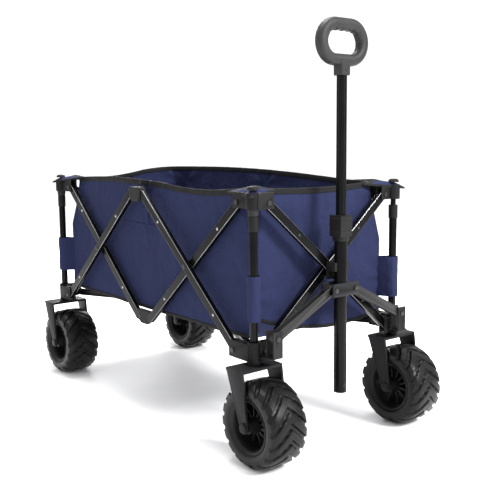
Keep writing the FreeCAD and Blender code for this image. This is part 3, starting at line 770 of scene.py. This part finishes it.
def wall_frame(side):
    """The range along a wall and the posts at its ends."""
    if WALLS[side][0] == "y":
        return FRONT_Y, REAR_Y, (POST["FL"].y, POST["RL"].y)
    return -WALL_X, WALL_X, (POST["FL"].x, POST["FR"].x)


def rim_height(side, along):
    """The height of a wall's rim at a place along it."""
    start, finish = wall_frame(side)[2]
    return RIM_Z + rim_shape(min(1.0, max(0.0, (along - start) / (finish - start))), WALLS[side][5])


def wall_point(side, share, height_share):
    """A point on a cloth wall and its outward normal."""
    runs, fixed, out, seed, _, _, hem_line = WALLS[side]
    first, last, ends = wall_frame(side)
    along = first + (last - first) * share
    rim = rim_height(side, along)
    lowest, drop, curvature = hem_line
    hem = FOOT_Z - drop + curvature * (share - lowest) ** 2
    z = hem + (rim - hem) * height_share
    inset = corner_inset(runs, z)
    along_shifted = along + inset * (1 - 2 * share)
    supports = [(ends[0], 0.535), (ends[1], 0.535), (ends[0], 0.34), (ends[1], 0.34)]
    if runs == "y":
        supports.append(((ends[0] + ends[1]) / 2, 0.54))
    depth = creases(along, z, seed, supports)
    near_edge = math.exp(-min(along - first, last - along) / 0.05)
    drawn = DRAWN_IN * min(1.0, inset / 0.02) * near_edge
    edge_fade = min(1.0, share / 0.02, (1 - share) / 0.02)
    depth = depth * edge_fade - drawn
    depth -= 0.004 * math.sin(math.pi * height_share) * math.sin(math.pi * share)
    offset = fixed + out * depth
    if runs == "y":
        return Vector((offset, along_shifted, z)), Vector((out, 0, 0))
    return Vector((along_shifted, offset, z)), Vector((0, out, 0))


def wall_edge(side, share, height):
    """The point on an end edge of a wall, by how high it is between the sleeve and the rim."""
    runs, fixed, out = WALLS[side][:3]
    first, last, _ = wall_frame(side)
    along = first + (last - first) * share
    top = rim_height(side, along)
    z = SLEEVE_TOP_Z + GUSSET_START + (top - SLEEVE_TOP_Z - GUSSET_START) * height
    inset = corner_inset(runs, z)
    along += inset * (1 - 2 * share)
    offset = fixed - out * DRAWN_IN * min(1.0, inset / 0.02)
    return Vector((offset, along, z)) if runs == "y" else Vector((along, offset, z))


def gusset(code):
    """The slanting corner panel between the end edges of two walls."""
    side, end = CORNERS[code]
    long_side = "left" if side < 0 else "right"
    short_side = "front" if end < 0 else "rear"
    side_share = 0.0 if end < 0 else 1.0
    end_share = 0.0 if side < 0 else 1.0
    outwards = Vector((side, end, 0)).normalized()

    def surface(u, v):
        here = wall_edge(long_side, side_share, v)
        there = wall_edge(short_side, end_share, v)
        bulge = 0.004 * math.sin(math.pi * u) * v
        return here.lerp(there, u) + outwards * bulge, outwards

    points, faces = shell(surface, 12, 40, CLOTH)
    panel = piece(f"gusset_{code}", points, faces, NAVY, f"top_{code}", degrees=80)
    rim_path = [surface(n / 12, 1.0)[0] for n in range(13)]
    points, faces = sweep(rim_path, rounded_outline(0.0052, 0.0135, 0.0024))
    binding = piece(f"gusset_{code}.rim", points, faces, BINDING, f"top_{code}", degrees=70)
    rows = 40
    width = sum((surface(1, (n + 0.5) / rows)[0] - surface(0, (n + 0.5) / rows)[0]).xy.length
                for n in range(rows)) / rows


def squashed(cloth, side):
    """Give a cloth piece its own copy of its mesh."""
    if WALLS[side][0] == "y":
        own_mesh(cloth)
    else:
        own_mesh(cloth)


def ribbon(name, side, path, outline, surface):
    """A strip of tape sewn along a path on a wall."""
    points, faces = sweep(path, outline)
    result = piece(name, points, faces, surface, WALLS[side][4], degrees=70)
    squashed(result, side)
    return result


def wall(side):
    """One cloth wall with its rim binding and hem."""
    runs = WALLS[side][0]
    columns = 150 if runs == "y" else 84
    points, faces = shell(lambda u, v: wall_point(side, u, v), columns, 44, CLOTH)
    panel = piece(f"cloth_{side}.panel", points, faces, NAVY, WALLS[side][4], degrees=80)
    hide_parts(f"cloth_{side}")
    squashed(panel, side)
    steps = 100 if runs == "y" else 60
    rim_path = [wall_point(side, n / steps, 1.0)[0] for n in range(steps + 1)]
    rim = ribbon(f"cloth_{side}.rim", side, rim_path, rounded_outline(0.0052, 0.0135, 0.0024), BINDING)
    hem_path = [wall_point(side, n / steps, 0.008)[0] for n in range(steps + 1)]
    hem = ribbon(f"cloth_{side}.hem", side, hem_path, rounded_outline(0.0042, 0.0085, 0.0018), BINDING)
    if runs == "y":
        share = (SEAM_Z - FOOT_Z) / (RIM_Z - FOOT_Z)
        out = WALLS[side][2]
        first = 0.5 - SEAM_SPAN / 2
        path = []
        for n in range(41):
            point, normal = wall_point(side, first + SEAM_SPAN * n / 40, share)
            path.append(point + normal * 0.0012)
        ribbon(f"cloth_{side}.seam", side, path, rounded_outline(0.0024, 0.010, 0.001), NAVY)
        upright = []
        for n in range(17):
            point, normal = wall_point(side, 0.5, share + (0.97 - share) * n / 16)
            upright.append(point + normal * 0.0010)
        points, faces = sweep(upright, rounded_outline(0.007, 0.0018, 0.0008), up=Vector((out, 0, 0)))
        stitch = piece(f"cloth_{side}.upright_seam", points, faces, NAVY, WALLS[side][4])
        squashed(stitch, side)
    return panel


def floor_quarter(code):
    """A quarter of the basket's floor, drawn up with the floor link of its corner."""
    side, end = CORNERS[code]
    edge_x = side * (WALL_X - 0.001)
    edge_y = (FRONT_Y if end < 0 else REAR_Y) - end * 0.001
    middle_y = (FRONT_Y + REAR_Y) / 2

    def surface(u, v):
        x = edge_x * u
        y = middle_y + (edge_y - middle_y) * v
        sag = 0.0016 * math.cos(math.pi * x / (2 * WALL_X)) * noise.noise(Vector((x * 9, y * 9, 5)))
        return Vector((x, y, FOOT_Z + 0.0018 + sag)), Vector((0, 0, 1))

    points, faces = shell(surface, 20, 40, CLOTH)
    quarter = piece(f"cloth_floor.{code}", points, faces, NAVY, f"floor_link_{code}",
                    degrees=80)
    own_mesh(quarter)
    return quarter


def sleeve(code):
    """The cloth sleeve that holds a basket corner to its post and slides on it."""
    side, end = CORNERS[code]
    post = POST[code]
    radius = 0.0122
    wall_y = FRONT_Y if end < 0 else REAR_Y
    path = [Vector((side * (WALL_X - 0.0016), wall_y - end * 0.006, 0))]
    path.append(Vector((side * (abs(post.x) + radius * 0.72), post.y - end * radius * 0.9, 0)))
    steps = 14
    for step in range(steps + 1):
        angle = math.radians(-10 + 110 * step / steps)
        path.append(post + Vector((side * math.cos(angle) * radius, end * math.sin(angle) * radius, 0)))
    path.append(Vector((post.x - side * radius * 0.9, post.y + end * radius * 0.72, 0)))
    path.append(Vector((side * (WALL_X - 0.006), wall_y - end * 0.0016, 0)))
    low, high = SLEEVE_FOOT_Z, SLEEVE_TOP_Z
    count = len(path) - 1

    def surface(u, v):
        number = min(int(u * count), count - 1)
        share = u * count - number
        spot = path[number].lerp(path[number + 1], share)
        direction = path[number + 1] - path[number]
        normal = Vector((direction.y, -direction.x, 0)).normalized() * (-side * end)
        z = low + (high - low) * v
        ripple = 0.0012 * noise.noise(Vector((u * 6, v * 3, side + 2 * end)))
        return Vector((spot.x, spot.y, z)) + normal * ripple, normal

    points, faces = shell(surface, 54, 16, CLOTH)
    tube = piece(f"sleeve_{code}", points, faces, NAVY, f"top_{code}", degrees=80)
    return tube


SIDE_TIP = 0.112
END_TIP = 0.078
CAP_Z = 0.5605
TIP_LIFT = 0.003


def flap(code):
    """The bound cloth kite over a corner bracket: two tips run out along the rims, one droops outwards."""
    side, end = CORNERS[code]
    post = POST[code]
    centre = Vector((post.x, post.y, CAP_Z))
    long_side = "left" if side < 0 else "right"
    short_side = "front" if end < 0 else "rear"
    side_y = post.y - end * SIDE_TIP
    end_x = post.x - side * END_TIP
    wall_y = FRONT_Y if end < 0 else REAR_Y
    outwards = Vector((side, end, 0)).normalized()
    tips = [
        Vector((side * (WALL_X + 0.004), side_y, rim_height(long_side, side_y) + TIP_LIFT)),
        centre + outwards * 0.026 + Vector((0, 0, -0.013)),
        Vector((end_x, wall_y + end * 0.004, rim_height(short_side, end_x) + TIP_LIFT)),
        centre - outwards * 0.044 + Vector((0, 0, 0.007)),
    ]
    outline = []
    steps = 12
    for here, there in zip(tips, tips[1:] + tips[:1]):
        pull = (here + there) / 2
        for step in range(steps):
            t = step / steps
            outline.append(here * (1 - t) ** 2 + pull * 2 * t * (1 - t) + there * t ** 2)
    top, low = [], []
    for share in (0.06, 0.3, 0.5, 0.66, 0.76, 0.80, 0.9, 1.0):
        thick = 0.0030 if share > 0.78 else 0.0018
        ring = []
        for spot in outline:
            point = centre.lerp(spot, share)
            point.z = centre.z + (spot.z - centre.z) * share ** 1.3
            ring.append(point)
        top.append([point + Vector((0, 0, thick / 2)) for point in ring])
        low.append([point - Vector((0, 0, thick / 2)) for point in ring])
    points, faces = loft(top + low[::-1], capped=True)
    body = f"top_{code}"
    patch = piece(f"flap_{code}", points, faces, NAVY, body, degrees=60)
    patch.data.materials.append(BINDING)
    ring_faces = len(outline)
    for number, face in enumerate(patch.data.polygons):
        row = number // ring_faces
        face.material_index = 1 if 4 <= row <= 10 else 0
    profile = [(0.0, 0.0005), (0.0, 0.0122), (0.0030, 0.0122), (0.0060, 0.0108), (0.0076, 0.0068),
               (0.0080, 0.0005)]
    points, faces = lathe(profile, centre + Vector((0, 0, 0.0010)), axis="z", segments=32)
    piece(f"flap_{code}.cap", points, faces, PLASTIC, body, degrees=50)
    return patch


def flaps():
    """The four corner patches."""
    for code in CORNERS:
        flap(code)


def arch_pocket():
    """The arched pocket inside the right wall near the rear."""
    centre_y, base_z, half, rise = 0.30, 0.42, 0.055, 0.105
    path = []
    for step in range(33):
        angle = math.pi * step / 32
        y = centre_y + half * math.cos(angle)
        z = base_z + rise * math.sin(angle) ** 0.8
        path.append(Vector((WALL_X - 0.0035, y, z)))
    points, faces = sweep(path, rounded_outline(0.008, 0.0020, 0.0009), up=Vector((-1, 0, 0)))
    band = piece("pocket_band", points, faces, NAVY, "top_FR")
    squashed(band, "right")

    def surface(u, v):
        y = centre_y + half * (2 * u - 1)
        top = base_z + rise * math.sqrt(max(0.0, 1 - (2 * u - 1) ** 2)) ** 0.8
        z = base_z - 0.10 + (top - base_z + 0.10) * v
        return Vector((WALL_X - 0.0062, y, z)), Vector((-1, 0, 0))

    points, faces = shell(surface, 24, 16, 0.001)
    pocket = piece("pocket", points, faces, NAVY, "top_FR", degrees=80)
    squashed(pocket, "right")


def basket():
    """The whole sewn basket."""
    for side in WALLS:
        wall(side)
    quarters = [floor_quarter(code) for code in CORNERS]
    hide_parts("cloth_floor")
    for code in CORNERS:
        gusset(code)
        sleeve(code)
    flaps()
    arch_pocket()


# ---------------------------------------------------------------- studio
def studio():
    """Pale floor, white world and soft lights."""
    mesh = bpy.data.meshes.new("floor")
    size = 30
    mesh.from_pydata([(-size, -size, 0), (size, -size, 0), (size, size, 0), (-size, size, 0)], [],
                     [(0, 1, 2, 3)])
    ground = bpy.data.objects.new("floor", mesh)
    bpy.context.scene.collection.objects.link(ground)
    mesh.materials.append(material("pale_floor", (0.985, 0.985, 0.985), 0.95, specular=0.05, mottle=0.01,
                                   grain=0.02))
    world = bpy.data.worlds.new("studio")
    bpy.context.scene.world = world
    world.use_nodes = True
    world.node_tree.nodes["Background"].inputs["Color"].default_value = (1, 1, 1, 1)
    world.node_tree.nodes["Background"].inputs["Strength"].default_value = 1.14
    for name, place, size, power in (
        ("key", (0.9, -3.0, 2.3), 0.8, 170), ("rake", (-3.0, -0.6, 2.2), 0.6, 6),
        ("top", (0.2, 0.4, 3.2), 1.2, 130), ("back", (1.6, 2.8, 2.0), 1.2, 60),
    ):
        lamp = bpy.data.lights.new(name, "AREA")
        lamp.size = size
        lamp.energy = power
        item = bpy.data.objects.new(name, lamp)
        item.location = place
        aim = Vector((0, 0, 0.35)) - Vector(place)
        item.rotation_euler = aim.to_track_quat("-Z", "Y").to_euler()
        bpy.context.scene.collection.objects.link(item)


def camera():
    """The camera: a level three-quarter view from the front left."""
    yaw, pitch, roll = 0.6604, 0.1246, -0.0098
    lens = bpy.data.cameras.new("camera")
    lens.sensor_width = 36
    lens.lens = 58.36
    eye = bpy.data.objects.new("camera", lens)
    eye.rotation_mode = "QUATERNION"
    forward = Vector((math.sin(yaw) * math.cos(pitch), math.cos(yaw) * math.cos(pitch), -math.sin(pitch)))
    right = forward.cross(Vector((0, 0, 1))).normalized()
    up = right.cross(forward)
    right_rolled = right * math.cos(roll) + up * math.sin(roll)
    up_rolled = up * math.cos(roll) - right * math.sin(roll)
    turn = Matrix((right_rolled, up_rolled, -forward)).transposed()
    eye.rotation_quaternion = turn.to_quaternion()
    eye.location = (-1.1799, -1.6165, 0.6557)
    bpy.context.scene.collection.objects.link(eye)
    bpy.context.scene.camera = eye
    bpy.context.scene.view_settings.view_transform = "Standard"


camera()
studio()
finish_frame_parts()
scissor_bars()
for wheel_code in CORNERS:
    tyre(wheel_code)
    spoked_rim(wheel_code)
inner_mast()
grip()
collar_details()
basket()
